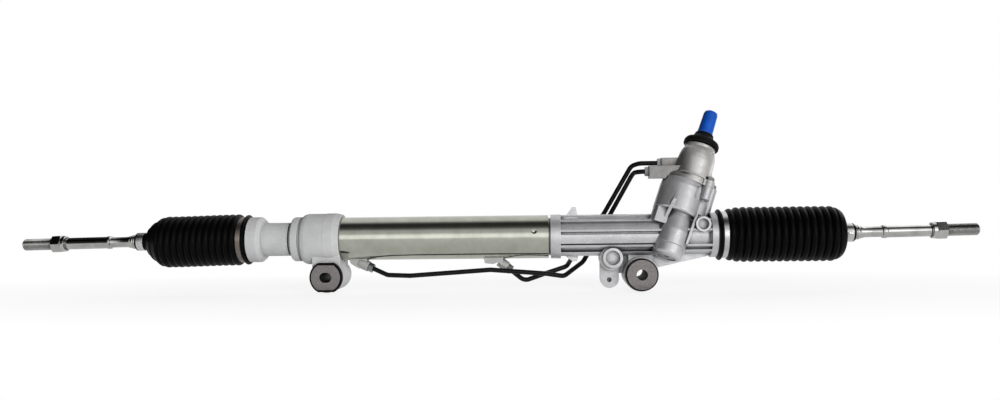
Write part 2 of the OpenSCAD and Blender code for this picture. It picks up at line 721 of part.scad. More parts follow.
module left_boot_clamp() {
  color([0.62, 0.6, 0.58]) boot_clamp(left_ring_in_x - clamp_offset - clamp_w);
}

module right_boot_clamp() {
  color([0.78, 0.78, 0.78]) boot_clamp(ring_in_x + clamp_offset);
}

// Section of the folds: first and last ridge lie at t0 and t0 + (n - 1) * pitch
function folds(t0, pitch, n, top, depth) = [
  for (i = [0 : n - 1], k = [-0.42, -0.14, 0.14, 0.42])
    [abs(k) < 0.2 ? top : top - depth, t0 + (i + k) * pitch]
];

function inwards(points, dr, dt) = [
  for (i = [len(points) - 1 : -1 : 0]) [points[i][0] - dr, points[i][1] - dt]
];

// Bellows in the frame of an end: seat_t is the shoulder of its seat, dome lists radius and
// distance from the ball centre of the closing face
module bellows(seat_t, t0, pitch, n, top, depth, dome) {
  bead_t = seat_t + bead_offset;
  ridge_points = folds(t0, pitch, n, top, depth);
  rotate_extrude() polygon(concat(
    [[cuff_r, bead_t - 1.2], [33, bead_t - 2.4], [34, bead_t - 0.8], [34, bead_t + 0.8],
      [33, bead_t + 2.4], [cuff_r, bead_t + 2.6]],
    [[cuff_r, t0 - 0.46 * pitch]],
    ridge_points,
    dome,
    inwards(dome, 1, 1.5),
    inwards(ridge_points, boot_wall, 0),
    [[seat_r + 1.2, t0 - 0.5 * pitch], [seat_r + seat_gap, t0 - 0.5 * pitch - 2],
      [seat_r + seat_gap, bead_t - 1.2]]
  ));
}

module boot_neck() {
  translate([0, 0, neck_from]) ring(neck_r, neck_seat_r + running_gap, neck_to - neck_from);
}

module left_boot() {
  seat_t = left_ball_x - left_ring_in_x;
  color([0.05, 0.05, 0.055]) {
    at_end(true) bellows(seat_t, seat_t + first_ridge_offset, left_ridge_pitch, left_ridges,
      left_ridge_r, left_fold,
      [[32.8, 35.4], [32.6, 38.4], [27.4, 46], [26.4, 47.6], [20.8, 53.8], [19.6, 55], [13.2, 58.8], [10.5, 60.4]]);
    at_rod(true) boot_neck();
  }
}

module right_boot() {
  seat_t = ring_in_x - right_ball_x;
  color([0.05, 0.05, 0.055]) {
    at_end(false) bellows(seat_t, seat_t + first_ridge_offset, right_ridge_pitch, right_ridges,
      right_ridge_r, right_fold,
      [[33.6, 51.4], [30.9, 56.4], [26.8, 59.2], [19.4, 61.4], [14, 62.6], [10.6, 63]]);
    at_rod(false) boot_neck();
  }
}

module rack_bar() {
  color([0.6, 0.61, 0.63])
  difference() {
    along_rack(left_ball_x + 26) cylinder(r = rack_r, h = right_ball_x - left_ball_x - 52);
    rack_frame() translate([pinion_x, 0, 0]) linear_extrude(height = 40, center = true) rack_comb();
    along_rack(left_ball_x + 20) cylinder(r = 9, h = 24);
    along_rack(right_ball_x - 44) cylinder(r = 9, h = 24);
  }
}

// Tooth spaces and the flat over them, seen along the teeth
module rack_comb() {
  half = floor((rack_spaces - 3) / 2);
  w0 = rack_pitch / 4 - gear_module * tan(20);
  w1 = rack_pitch / 4 + gear_module * tan(20);
  translate([-half * rack_pitch - 1.6, -20]) square([(rack_spaces - 1) * rack_pitch + 3.2, 20 - rack_tip]);
  for (k = [-half : rack_spaces - 1 - half]) {
    translate([k * rack_pitch, 0]) polygon([[-w0, -rack_root], [w0, -rack_root], [w1, -rack_tip],
      [w1, -rack_tip - 0.5], [-w1, -rack_tip - 0.5], [-w1, -rack_tip]]);
  }
}

module piston() {
  color([0.7, 0.71, 0.72])
  along_rack(piston_x - piston_t / 2) difference() {
    cylinder(r = bore_r - 0.4, h = piston_t);
    translate([0, 0, -1]) cylinder(r = rack_r + seat_gap, h = piston_t + 2);
    translate([0, 0, piston_t / 2 - 1.5]) ring(bore_r + 1, bore_r - 2.4, 3);
  }
}

module piston_ring() {
  color([0.1, 0.1, 0.1])
  along_rack(piston_x - 1.5) ring(bore_r - running_gap, bore_r - 2.4 + seat_gap, 3);
}

// Tabbed washer between a rack end and its ball socket
module lock_washer() {
  translate([0, 0, -26]) ring(17, 9 + seat_gap, 2);
  for (a = [0, 180]) rotate([0, 0, a]) translate([15.2, -3, -24]) cube([1.8, 6, 3.5]);
}

module left_lock_washer() {
  color([0.5, 0.51, 0.52]) at_end(true) lock_washer();
}

module right_lock_washer() {
  color([0.5, 0.51, 0.52]) at_end(false) lock_washer();
}

module ball_socket() {
  difference() {
    union() {
      translate([0, 0, -24]) cylinder(r = socket_r - 3, h = 4.1);
      translate([0, 0, -20]) cylinder(r = socket_r, h = 22);
      translate([0, 0, 2]) cylinder(r1 = socket_r, r2 = 14.4, h = ball_lip - 2);
      translate([0, 0, -43]) cylinder(r = 9 - seat_gap, h = 22);
    }
    sphere(r = socket_in, $fn = 96);
    for (a = [0, 180]) rotate([0, 0, a]) translate([15.1, -3.1, -25]) cube([6, 6.2, 5.5]);
  }
}

module left_socket() {
  color([0.5, 0.51, 0.52]) at_end(true) ball_socket();
}

module right_socket() {
  color([0.5, 0.51, 0.52]) at_end(false) ball_socket();
}

// Polymer cup between ball and socket
module ball_seat() {
  difference() {
    sphere(r = seat_out_r, $fn = 96);
    sphere(r = ball_r + running_gap, $fn = 96);
    translate([0, 0, ball_lip - 0.1]) cylinder(r = 30, h = 30);
  }
}

module left_ball_seat() {
  color([0.85, 0.83, 0.76]) at_end(true) ball_seat();
}

module right_ball_seat() {
  color([0.85, 0.83, 0.76]) at_end(false) ball_seat();
}

module tie_rod() {
  sphere(r = ball_r, $fn = 96);
  rotate_extrude() polygon([
    [0, 5], [6.5, 5], [6.5, 22], [shank_r, 40], [shank_r, 62], [neck_seat_r, 63.5],
    [neck_seat_r, collar_from], [10.4, collar_from + 0.6], [10.4, collar_from + 2],
    [9.2, collar_from + 2.8], [9.2, collar_from + 4], [9.6, collar_from + 4.8],
    [shank_r + 0.3, collar_from + 7.2], [7.2, collar_from + 12.4], [7, collar_from + 16.4],
    [7, nut_from - 64.5], [8.8, nut_from - 63.5], [8.8, nut_from - 58], [shank_r, nut_from - 57],
    [shank_r, nut_from - 2], [thread_seat_r - 0.4, nut_from - 0.5], [thread_seat_r, nut_from + 0.4],
    [thread_seat_r, thread_from], [thread_r, thread_from], [thread_r, rod_length - 1.6],
    [thread_r - 1.6, rod_length], [0, rod_length]
  ]);
}

module left_tie_rod() {
  color([0.72, 0.72, 0.72]) at_rod(true) tie_rod();
}

module right_tie_rod() {
  color([0.72, 0.72, 0.72]) at_rod(false) tie_rod();
}

// Wide small clip over the boot neck
module boot_clip() {
  translate([0, 0, 64]) ring(neck_r + 0.9, neck_r + running_gap, 9);
  translate([-1.5, -neck_r - 2.2, 65.5]) cube([3, 1.8, 6]);
}

module left_boot_clip() {
  color([0.75, 0.75, 0.75]) at_rod(true) boot_clip();
}

module right_boot_clip() {
  color([0.75, 0.75, 0.75]) at_rod(false) boot_clip();
}

module jam_nut() {
  flange_t = 5;
  hex_t = nut_t - flange_t - 0.02;
  flat_r = nut_flats / 2 + 0.2;
  translate([0, 0, nut_from]) difference() {
    union() {
      cylinder(r = nut_flats / 2 - 0.4, h = flange_t);
      translate([0, 0, flange_t]) intersection() {
        cylinder(r = nut_flats / sqrt(3), h = hex_t, $fn = 6);
        cylinder(r1 = flat_r, r2 = flat_r + hex_t, h = hex_t);
        cylinder(r1 = flat_r + hex_t, r2 = flat_r, h = hex_t);
      }
    }
    translate([0, 0, -1]) cylinder(r = thread_seat_r + running_gap, h = nut_t + 2);
  }
}

module left_jam_nut() {
  color([0.68, 0.68, 0.67]) at_rod(true) jam_nut();
}

module right_jam_nut() {
  color([0.68, 0.68, 0.67]) at_rod(false) jam_nut();
}

// One tooth flank sampled from root to tip, side is 1 or -1
function flank(side, i) = [
  for (r = flank_radii) let (a = i * 360 / teeth + 90 + side * half_at(r)) [r * cos(a), r * sin(a)]
];

function tooth_points(i) = [
  for (side = [-1, 1], k = [0 : len(flank_radii) - 1])
    flank(side, i)[side < 0 ? k : len(flank_radii) - 1 - k]
];

module pinion_gear() {
  color([0.62, 0.63, 0.65]) {
    on_pinion(-pinion_face / 2) rotate([0, 0, -pinion_twist / 2])
      linear_extrude(height = pinion_face, twist = -pinion_twist, slices = 18)
        polygon([for (i = [0 : teeth - 1]) each tooth_points(i)]);
    difference() {
      union() {
        on_pinion(-31) cylinder(r = 6.5, h = 32 - pinion_face / 2);
        on_pinion(pinion_face / 2 - 0.5) cylinder(r = 9, h = 26);
        on_pinion(40) cylinder(r = 13, h = 14);
      }
      on_pinion(30) cylinder(r = 3, h = 40);
      on_pinion(46) cylinder(r = 9.5, h = 20);
    }
  }
}

module valve_sleeve() {
  color([0.58, 0.6, 0.62])
  difference() {
    on_pinion(54) cylinder(r = 17, h = 48);
    on_pinion(53) cylinder(r = 11 + running_gap, h = 60);
    for (s = [60, 72, 84, 96]) on_pinion(s) ring(18, 15.6, 2);
    for (a = [0 : 60 : 300]) on_pinion(79) rotate([0, 90, a]) translate([0, 0, 13]) cylinder(r = 1.5, h = 5);
  }
}

module sleeve_rings() {
  color([0.15, 0.15, 0.15])
  for (s = [60, 72, 84, 96]) on_pinion(s) ring(17.2, 15.6 + seat_gap, 2);
}

module input_shaft() {
  color([0.62, 0.63, 0.65])
  difference() {
    union() {
      on_pinion(54.2) cylinder(r = 11, h = 49);
      on_pinion(47) cylinder(r = 9, h = 8);
      on_pinion(103) cylinder(r = 9, h = 44);
      on_pinion(147) cylinder(r = 8, h = 24);
      for (a = [0 : 15 : 345]) on_pinion(150) rotate([0, 0, a]) translate([7.8, -0.35, 0]) cube([0.7, 0.7, 20]);
    }
    on_pinion(46) cylinder(r = 3.4, h = 112);
    on_pinion(157) cylinder(r = 2.6, h = 20);
  }
}

module torsion_bar() {
  color([0.45, 0.46, 0.48]) {
    on_pinion(46.5) cylinder(r = 2.2, h = 112);
    on_pinion(157.5) cylinder(r = 2.6 - seat_gap, h = 12);
    on_pinion(33) cylinder(r = 3 - running_gap, h = 14);
  }
}

module dust_cover() {
  color([0.03, 0.03, 0.03])
  on_pinion(0) rotate_extrude() polygon([
    [9 + seat_gap, 131], [20.6, 128], [20.6, 124.4], [22.6, 123.6], [23.8, 125.4], [23.6, 129.5],
    [22, 132.4], [16.5, 135], [13.5, 138.6], [12.4, 142.8], [9 + seat_gap, 142.8]
  ]);
}

module shaft_cap() {
  color([0.03, 0.22, 0.6])
  on_pinion(0) rotate_extrude() polygon([
    [8.8, 147.2], [8.8, 171.4], [0, 171.4], [0, 177.6], [6.2, 177.6], [8.6, 176], [9.5, 173],
    [10.2, 146], [10.6, 145.8], [10.6, 144], [9.1, 144], [9.1, 147.2]
  ]);
}

cylinder_casting();
cylinder_tube();
left_port_boss();
right_port_boss();
gear_housing();
valve_housing();
flange_bolts();
bottom_plug();
lower_bearing();
upper_bearing();
input_bearing();
input_seal();
cylinder_bush();
left_rod_seal();
seal_carrier();
right_rod_seal();
rack_guide();
guide_spring();
guide_plug();
guide_locknut();
left_mount_rubber();
left_mount_sleeve();
right_mount_rubber();
right_mount_sleeve();
left_port_pipe();
right_port_pipe();
pipe_nuts();
left_boot_clamp();
right_boot_clamp();
left_boot();
right_boot();
rack_bar();
piston();
piston_ring();
left_lock_washer();
right_lock_washer();
left_socket();
right_socket();
left_ball_seat();
right_ball_seat();
left_tie_rod();
right_tie_rod();
left_boot_clip();
right_boot_clip();
left_jam_nut();
right_jam_nut();
pinion_gear();
valve_sleeve();
sleeve_rings();
input_shaft();
torsion_bar();
dust_cover();
shaft_cap();
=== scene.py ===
import json
import math

import bmesh
import bpy
from mathutils import Matrix, Vector


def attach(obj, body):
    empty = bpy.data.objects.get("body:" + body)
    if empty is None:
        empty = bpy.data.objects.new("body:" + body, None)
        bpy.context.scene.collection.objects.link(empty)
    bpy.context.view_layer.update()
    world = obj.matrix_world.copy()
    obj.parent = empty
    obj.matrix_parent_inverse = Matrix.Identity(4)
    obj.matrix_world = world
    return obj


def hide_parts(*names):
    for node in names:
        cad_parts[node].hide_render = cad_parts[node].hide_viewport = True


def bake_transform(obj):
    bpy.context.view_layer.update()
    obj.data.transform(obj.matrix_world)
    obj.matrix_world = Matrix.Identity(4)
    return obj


# Steering gear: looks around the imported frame. Lengths are millimetres, and MM turns them to
# metres. Names that end in _M are metres already.
MM = 0.001
AXIS_Z = 50.0          # height of the rack axis over the mounting bores
LEFT_BALL = -611.5     # ball centres along X
RIGHT_BALL = 206.0
ROD_LENGTH = 236.0     # ball centre to rod tip
LEFT_DROOP = 0.9       # degrees the left rod hangs down
RIGHT_RISE = 0.9       # degrees the right rod stands up
FLOOR_Z = -24.2        # underside of the mounting eyes
WHITE = (1.0, 1.0, 1.0, 1.0)

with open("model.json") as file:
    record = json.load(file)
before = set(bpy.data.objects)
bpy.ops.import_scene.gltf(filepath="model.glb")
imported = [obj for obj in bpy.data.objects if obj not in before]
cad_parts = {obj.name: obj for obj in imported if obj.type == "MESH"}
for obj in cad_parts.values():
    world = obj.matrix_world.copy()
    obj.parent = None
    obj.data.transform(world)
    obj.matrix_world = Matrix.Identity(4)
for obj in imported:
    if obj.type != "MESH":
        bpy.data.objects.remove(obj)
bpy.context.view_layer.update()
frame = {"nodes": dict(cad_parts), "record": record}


# Colour and node helpers

def linear(r, g, b):
    """Linear colour with alpha from display values between 0 and 1."""
    def one(c):
        return c / 12.92 if c <= 0.04045 else ((c + 0.055) / 1.055) ** 2.4
    return (one(r), one(g), one(b), 1.0)


EDGE_DOT = 0.88    # a rounded normal turned further than this from the true one is a full edge


class Surface:
    """A Principled material with object coordinates and a few node shortcuts."""

    def __init__(self, name, metallic=0.0, specular=0.5):
        self.material = bpy.data.materials.new(name)
        self.material.use_nodes = True
        self.tree = self.material.node_tree
        self.shader = self.tree.nodes["Principled BSDF"]
        self.shader.inputs["Metallic"].default_value = metallic
        self.shader.inputs["Specular IOR Level"].default_value = specular
        self.coords = self.tree.nodes.new("ShaderNodeTexCoord").outputs["Object"]

    def add(self, kind, **values):
        node = self.tree.nodes.new(kind)
        for key, value in values.items():
            setattr(node, key, value)
        return node

    def link(self, a, b):
        self.tree.links.new(a, b)

    def stretched(self, scale):
        """Object coordinates scaled by a vector, for streaks."""
        node = self.add("ShaderNodeMapping")
        node.inputs["Scale"].default_value = scale
        self.link(self.coords, node.inputs["Vector"])
        return node.outputs["Vector"]

    def noise(self, scale, detail=4.0, rough=0.55, vector=None):
        node = self.add("ShaderNodeTexNoise")
        node.inputs["Scale"].default_value = scale
        node.inputs["Detail"].default_value = detail
        node.inputs["Roughness"].default_value = rough
        self.link(vector or self.coords, node.inputs["Vector"])
        return node.outputs["Fac"]

    def spread(self, value, low, high, start=0.3, stop=0.7):
        """Value remapped so that start..stop becomes low..high."""
        node = self.add("ShaderNodeMapRange")
        node.inputs["From Min"].default_value = start
        node.inputs["From Max"].default_value = stop
        node.inputs["To Min"].default_value = low
        node.inputs["To Max"].default_value = high
        self.link(value, node.inputs["Value"])
        return node.outputs["Result"]

    def blend(self, factor, a, b, mode="MIX"):
        """Mix of two colours; each is a colour value or a socket."""
        node = self.add("ShaderNodeMix", data_type="RGBA", blend_type=mode)
        sockets = [s for s in node.inputs if s.type == "RGBA"]
        for value, socket in ((a, sockets[0]), (b, sockets[1])):
            if hasattr(value, "links"):
                self.link(value, socket)
            else:
                socket.default_value = value
        if hasattr(factor, "links"):
            self.link(factor, node.inputs[0])
        else:
            node.inputs[0].default_value = factor
        return next(s for s in node.outputs if s.type == "RGBA")

    def edges(self, radius):
        """Rounded normal and a mask that is 1 along convex and concave edges."""
        bevel = self.add("ShaderNodeBevel", samples=6)
        bevel.inputs["Radius"].default_value = radius * MM
        plain = self.add("ShaderNodeNewGeometry").outputs["Normal"]
        dot = self.add("ShaderNodeVectorMath", operation="DOT_PRODUCT")
        self.link(bevel.outputs["Normal"], dot.inputs[0])
        self.link(plain, dot.inputs[1])
        mask = self.spread(dot.outputs["Value"], 1.0, 0.0, EDGE_DOT, 1.0)
        return bevel.outputs["Normal"], mask

    def painted_recess_shade(self, colour, reach, depth):
        """Painted shade: colour darkened in recesses within reach millimetres; depth 0..1 is how
        much.
        """
        node = self.add("ShaderNodeAmbientOcclusion", samples=8)
        node.inputs["Distance"].default_value = reach * MM
        shade = self.spread(node.outputs["AO"], 1.0 - depth, 1.0, 0.25, 0.85)
        return self.blend(1.0, colour, shade, mode="MULTIPLY")

    def bump(self, layers, normal=None):
        """Bump chain of (height, depth in millimetres) pairs over a normal."""
        for height, depth in layers:
            node = self.add("ShaderNodeBump")
            node.inputs["Strength"].default_value = 1.0
            node.inputs["Distance"].default_value = depth * MM
            self.link(height, node.inputs["Height"])
            if normal is not None:
                self.link(normal, node.inputs["Normal"])
            normal = node.outputs["Normal"]
        self.link(normal, self.shader.inputs["Normal"])

    def colour(self, socket):
        self.link(socket, self.shader.inputs["Base Color"])

    def roughness(self, socket):
        self.link(socket, self.shader.inputs["Roughness"])


# Materials, one function each

FLECK_DARK = (0.84, 0.84, 0.84, 1.0)
FLECK_LIGHT = (1.06, 1.06, 1.06, 1.0)
# Grey that multiplies the skin where painted shade darkens it.
PAINTED_SHADE_GREY = (0.42, 0.42, 0.42, 1.0)


def cast_metal(name, dark, light, worn, metallic, rough, grain_depth, recess_shade_depth, shade_x_range=None):
    """Cast surface: grain, blotches, brighter rubbed edges, painted shade in the recesses.

    The last argument, an X range in millimetres, paints shade: the skin is darker before it and
    full after it."""
    s = Surface(name, metallic=metallic)
    blotch = s.noise(28.0, detail=3.0)
    speckle = s.noise(900.0, detail=2.0, rough=0.7)
    base = s.blend(s.spread(blotch, 0.0, 1.0), dark, light)
    fleck = s.blend(s.spread(speckle, 0.0, 1.0, 0.35, 0.75), FLECK_DARK, FLECK_LIGHT)
    base = s.blend(1.0, base, fleck, mode="MULTIPLY")
    normal, edge = s.edges(0.9)
    skin = s.blend(edge, base, worn)
    # Painted shade: the skin is darkened towards low X, fading out over the given range.
    if shade_x_range:
        split = s.add("ShaderNodeSeparateXYZ")
        s.link(s.coords, split.inputs["Vector"])
        fade = s.spread(split.outputs["X"], 0.0, 1.0, shade_x_range[0] * MM, shade_x_range[1] * MM)
        skin = s.blend(1.0, skin, s.blend(fade, PAINTED_SHADE_GREY, WHITE), mode="MULTIPLY")
    # Painted shade darkens the colour in the recesses.
    s.colour(s.painted_recess_shade(skin, 9.0, recess_shade_depth))
    s.roughness(s.spread(s.noise(160.0), rough - 0.08, rough + 0.1))
    waves = s.noise(60.0, detail=2.0)
    grain = s.noise(650.0, detail=3.0, rough=0.65)
    s.bump([(waves, 0.35), (grain, grain_depth)], normal)
    return s.material


def turned_metal(name, dark, light, rough, streak, recess_shade_depth=0.5):
    """Drawn, ground or plated metal with fine streaks, a slight mottle and painted shade in the
    recesses.
    """
    s = Surface(name, metallic=1.0)
    lines = s.noise(1.0, detail=3.0, rough=0.6, vector=s.stretched(streak))
    mottle = s.noise(55.0, detail=4.0)
    base = s.blend(s.spread(mottle, 0.0, 1.0), dark, light)
    normal, edge = s.edges(0.5)
    # Painted shade darkens the colour in the recesses.
    s.colour(s.painted_recess_shade(s.blend(edge, base, light), 12.0, recess_shade_depth))
    s.roughness(s.spread(lines, rough - 0.05, rough + 0.07))
    s.bump([(lines, 0.006), (s.noise(420.0, detail=2.0), 0.006)], normal)
    return s.material


def sleeve_face(name):
    """Phosphated steel face: grainy warm grey, with painted shade that turns the bore nearly
    black.
    """
    s = Surface(name, metallic=0.2, specular=0.3)
    grain = s.noise(520.0, detail=3.0, rough=0.7)
    base = s.blend(s.spread(grain, 0.0, 1.0), linear(0.36, 0.345, 0.345), linear(0.48, 0.46, 0.46))
    normal, edge = s.edges(0.7)
    # Painted shade darkens the bore to near black.
    s.colour(s.painted_recess_shade(s.blend(edge, base, linear(0.60, 0.58, 0.57)), 24.0, 0.985))
    s.roughness(s.spread(s.noise(200.0), 0.55, 0.72))
    s.bump([(grain, 0.05)], normal)
    return s.material


def rubber(name, dark, light, rough, grain_depth, worn, specular=0.12):
    """Moulded rubber: fine grain, dusty blotches, greyer edges."""
    s = Surface(name, specular=specular)
    dust = s.noise(42.0, detail=5.0, rough=0.6)
    normal, edge = s.edges(0.6)
    base = s.blend(s.spread(dust, 0.0, 1.0), dark, light)
    s.colour(s.blend(edge, base, worn))
    s.roughness(s.spread(s.noise(240.0), rough - 0.08, rough + 0.1))
    s.bump([(s.noise(1500.0, detail=2.0), grain_depth)], normal)
    return s.material


def pipe_coating():
    s = Surface("gloss_black_coat", specular=0.2)
    blotch = s.spread(s.noise(70.0), 0.0, 1.0)
    s.colour(s.blend(blotch, linear(0.015, 0.012, 0.02), linear(0.04, 0.035, 0.045)))
    s.roughness(s.spread(s.noise(210.0, detail=5.0), 0.18, 0.34))
    s.bump([(s.noise(500.0, detail=2.0), 0.02)])
    return s.material


def blue_cap():
    s = Surface("blue_cap_plastic", specular=0.35)
    normal, edge = s.edges(0.7)
    blotch = s.spread(s.noise(60.0), 0.0, 1.0)
    base = s.blend(blotch, linear(0.0, 0.22, 0.54), linear(0.01, 0.265, 0.60))
    s.colour(s.blend(edge, base, linear(0.06, 0.34, 0.68)))
    s.roughness(s.spread(s.noise(180.0), 0.38, 0.52))
    s.bump([(s.noise(700.0, detail=2.0), 0.02)], normal)
    return s.material


def pale_polymer():
    s = Surface("seat_polymer", specular=0.45)
    blotch = s.spread(s.noise(90.0), 0.0, 1.0)
    s.colour(s.blend(blotch, linear(0.80, 0.78, 0.70), linear(0.88, 0.86, 0.79)))
    s.roughness(s.spread(s.noise(200.0), 0.38, 0.52))
    s.bump([(s.noise(900.0), 0.02)])
    return s.material


STREAK_ALONG = (12.0, 1500.0, 1500.0)    # drawn along the rack
STREAK_ROUND = (1800.0, 30.0, 30.0)      # turned about the rack axis

# Each cast and turned look's shade depth sets how dark the painted shade in its recesses is.
MATERIALS = {
    "painted_casting": cast_metal(
        "silver_paint", linear(0.66, 0.665, 0.665), linear(0.72, 0.72, 0.72),
        worn=linear(0.82, 0.82, 0.82), metallic=0.1, rough=0.6, grain_depth=0.10, recess_shade_depth=0.6),
    "plated_tube": turned_metal(
        "plated_tube", linear(0.70, 0.705, 0.66), linear(0.76, 0.765, 0.725), 0.13, STREAK_ALONG),
    "cast_alloy": cast_metal(
        "die_cast_alloy", linear(0.73, 0.73, 0.74), linear(0.82, 0.82, 0.83),
        worn=linear(0.95, 0.95, 0.95), metallic=0.75, rough=0.34, grain_depth=0.12, recess_shade_depth=0.8),
    # This look gets painted shade below X 58 mm, which fades out by X 70 mm.
    "cast_alloy_dark": cast_metal(
        "gravity_cast_alloy", linear(0.73, 0.725, 0.715), linear(0.82, 0.815, 0.805),
        worn=linear(0.94, 0.93, 0.92), metallic=0.72, rough=0.36, grain_depth=0.16, recess_shade_depth=0.75,
        shade_x_range=(58.0, 70.0)),
    "zinc_steel": turned_metal(
        "zinc_steel", linear(0.52, 0.53, 0.54), linear(0.66, 0.67, 0.68), 0.34, STREAK_ROUND),
    "machined_steel": turned_metal(
        "machined_steel", linear(0.62, 0.63, 0.65), linear(0.74, 0.75, 0.77), 0.22, STREAK_ALONG),
    "machined_alloy": turned_metal(
        "machined_alloy", linear(0.72, 0.72, 0.73), linear(0.82, 0.82, 0.83), 0.30, STREAK_ROUND),
    "black_rubber": rubber(
        "black_rubber", linear(0.02, 0.02, 0.02), linear(0.045, 0.045, 0.045), 0.60, 0.05,
        worn=linear(0.08, 0.08, 0.08)),
    "boot_rubber": rubber(
        "boot_elastomer", linear(0.006, 0.006, 0.007), linear(0.018, 0.018, 0.02), 0.40, 0.03,
        worn=linear(0.03, 0.03, 0.032), specular=0.07),
    "sleeve_steel": sleeve_face("phosphated_sleeve"),
    "coated_pipe": pipe_coating(),
    "clamp_steel": turned_metal(
        "clamp_strip", linear(0.74, 0.74, 0.74), linear(0.88, 0.88, 0.88), 0.24, STREAK_ROUND),
    "seal_polymer": rubber(
        "seal_polymer", linear(0.16, 0.15, 0.14), linear(0.22, 0.21, 0.20), 0.5, 0.03,
        worn=linear(0.30, 0.29, 0.28)),
    "seat_polymer": pale_polymer(),
    "rod_steel": turned_metal(
        "bright_rod", linear(0.64, 0.64, 0.63), linear(0.78, 0.78, 0.77), 0.11, STREAK_ROUND,
        recess_shade_depth=0.7),
    "cap_plastic": blue_cap(),
}


# Nodes that look different from the rest of their slot
NODE_LOOKS = {
    "left_boot_clamp": turned_metal(
        "stained_clamp", linear(0.44, 0.41, 0.39), linear(0.58, 0.54, 0.51), 0.34, STREAK_ROUND),
    "left_port_boss": cast_metal(
        "brazed_boss", linear(0.58, 0.58, 0.57), linear(0.70, 0.70, 0.69),
        worn=linear(0.84, 0.84, 0.83), metallic=0.4, rough=0.4, grain_depth=0.08, recess_shade_depth=0.55),
}
NODE_LOOKS["right_port_boss"] = NODE_LOOKS["left_port_boss"]


SHARP_NODE = 32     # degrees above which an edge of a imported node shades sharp
SHARP_LATHE = 40    # the same for turned pieces


def dress_nodes():
    """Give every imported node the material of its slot, or its own."""
    slots = {part["node"]: part["material_slot"] for part in frame["record"]["subparts"]}
    for name, obj in frame["nodes"].items():
        obj.data.materials.clear()
        obj.data.materials.append(NODE_LOOKS.get(name, MATERIALS[slots[name]]))
        obj.data.shade_smooth()
        obj.data.set_sharp_from_angle(angle=math.radians(SHARP_NODE))


# Mesh helpers

def outward_frame(x, outward):
    """Origin on the rack axis at x, and the unit vectors along (outwards), up and across."""
    along = Vector((outward, 0, 0))
    up = Vector((0, 0, 1))
    return Vector((x, 0, AXIS_Z)), along, up, along.cross(up)


def rod_frame(outward):
    """Like outward_frame, from the ball centre of one end along its tilted tie rod."""
    ball_x, lift = (LEFT_BALL, -LEFT_DROOP) if outward < 0 else (RIGHT_BALL, RIGHT_RISE)
    turn = math.radians(lift)
    along = Vector((outward * math.cos(turn), 0, math.sin(turn)))
    up = Vector((-outward * math.sin(turn), 0, math.cos(turn)))
    return Vector((ball_x, 0, AXIS_Z)), along, up, along.cross(up)


def lathe(name, outline, place, slot, steps=96, shape=None, closed=True, sag=None):
    """Surface of revolution of (t, r) points.

    shape(t, r, angle) may change r round the axis, and sag(t) lowers the centre."""
    origin, along, up, across = place
    verts = []
    for t, r in outline:
        for k in range(steps):
            angle = 2 * math.pi * k / steps
            radius = shape(t, r, angle) if shape else r
            point = origin + along * t + (up * math.cos(angle) + across * math.sin(angle)) * radius
            verts.append((point - up * (sag(t) if sag else 0.0)) * MM)
    rows = len(outline)
    faces = []
    for i in range(rows if closed else rows - 1):
        j = (i + 1) % rows
        for k in range(steps):
            n = (k + 1) % steps
            faces.append((i * steps + k, i * steps + n, j * steps + n, j * steps + k))
    if not closed:
        faces.append(tuple(range(steps)))
        faces.append(tuple((rows - 1) * steps + k for k in reversed(range(steps))))
    return mesh_piece(name, verts, faces, slot)


def mesh_piece(name, verts, faces, slot):
    mesh = bpy.data.meshes.new(name)
    mesh.from_pydata(verts, [], faces)
    mesh.validate()
    piece = bpy.data.objects.new(name, mesh)
    bpy.context.scene.collection.objects.link(piece)
    bpy.context.view_layer.objects.active = piece
    orient_outwards(mesh)
    mesh.shade_smooth()
    mesh.set_sharp_from_angle(angle=math.radians(SHARP_LATHE))
    mesh.materials.append(MATERIALS[slot])
    return piece


def orient_outwards(mesh):
    """Merge doubled points and turn all faces outwards."""
    work = bmesh.new()
    work.from_mesh(mesh)
    bmesh.ops.remove_doubles(work, verts=work.verts, dist=1e-6)
    bmesh.ops.recalc_face_normals(work, faces=work.faces)
    work.to_mesh(mesh)
    work.free()


# Boots

RIDGE_STEPS = 12       # points along each ridge
RIDGE_POWER = 0.62     # below 1 makes the ridges rounder and the valleys narrower
BOOT_WALL = 1.3
CUFF_INNER = 27.6      # radius of the seat under the cuff, with clearance
BEAD_R = 30.2          # centre of the bead's round and its two half axes
BEAD_HALF_WIDTH = 2.4
BEAD_HEIGHT = 3.8


def ridge_row(start, pitch, crests, depth):
    """Outline of round ridges with narrow valleys; crests lists the crest radius of each."""
    points = []
    for i, crest in enumerate(crests):
        for k in range(RIDGE_STEPS):
            u = k / RIDGE_STEPS - 0.5
            lift = math.cos(math.pi * u) ** RIDGE_POWER
            points.append((start + (i + 0.5 + u) * pitch, crest - depth + depth * lift))
    points.append((start + len(crests) * pitch, crests[-1] - depth))
    return points


def shell(outer):
    """Closed outline of a thin wall under an outer outline."""
    return outer + [(t, r - BOOT_WALL) for t, r in reversed(outer)]


